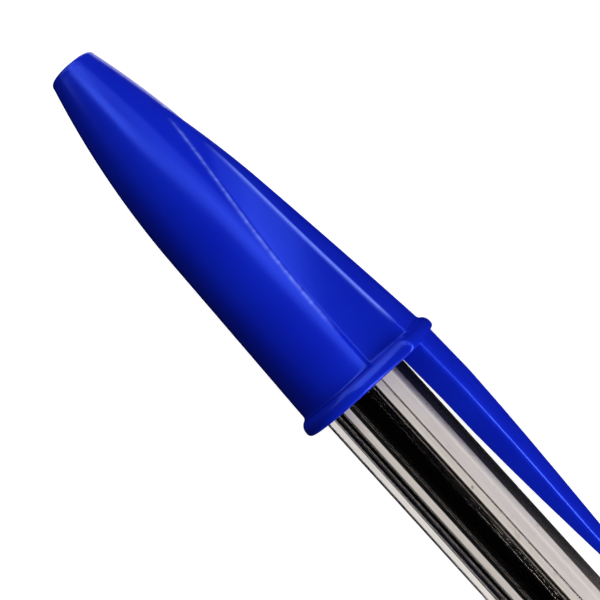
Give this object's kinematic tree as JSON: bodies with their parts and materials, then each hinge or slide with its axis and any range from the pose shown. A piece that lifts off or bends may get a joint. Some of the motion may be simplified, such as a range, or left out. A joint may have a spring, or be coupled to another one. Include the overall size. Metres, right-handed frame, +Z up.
{
  "type": "stick ballpoint pen",
  "caption": "Capped stick ballpoint pen: clear six-sided barrel with the ink tube showing through, and a tapered blue pull-off cap with a rim and a pocket clip.",
  "frame": {"origin": "centre of the flat rear face of the end plug", "axes": "+X along the pen out of its rear end, so the capped tip is towards -X; +Z up when the pen lies on a table on the straight flank of its cap's rim; +Y across the pen on the clip's side"},
  "size_m": [0.149, 0.0137, 0.0116],
  "materials": {
    "blue_plastic": "glossy moulded",
    "clear_plastic": "clear polished",
    "tube_plastic": "translucent satin",
    "ink": "wet",
    "holder_plastic": "satin moulded",
    "brass": "turned",
    "ball_metal": "ground"
  },
  "bodies": {
    "pen_body": {"barrel": "clear_plastic", "end_plug": "blue_plastic", "ink_tube": "tube_plastic", "ink": "ink", "tip_holder": "holder_plastic", "brass_tip": "brass"},
    "cap": {"pen_cap": "blue_plastic"},
    "ball": {"tip_ball": "ball_metal"}
  },
  "joints": [
    {"name": "cap_pull", "type": "slide", "parent": "pen_body", "child": "cap", "axis": [-1, 0, 0], "range_m": [0, 0.06]},
    {"name": "ball_roll", "type": "hinge", "parent": "pen_body", "child": "ball", "pos_m": [-0.1458, 0, 0], "axis": [0, 1, 0], "continuous": true}
  ]
}
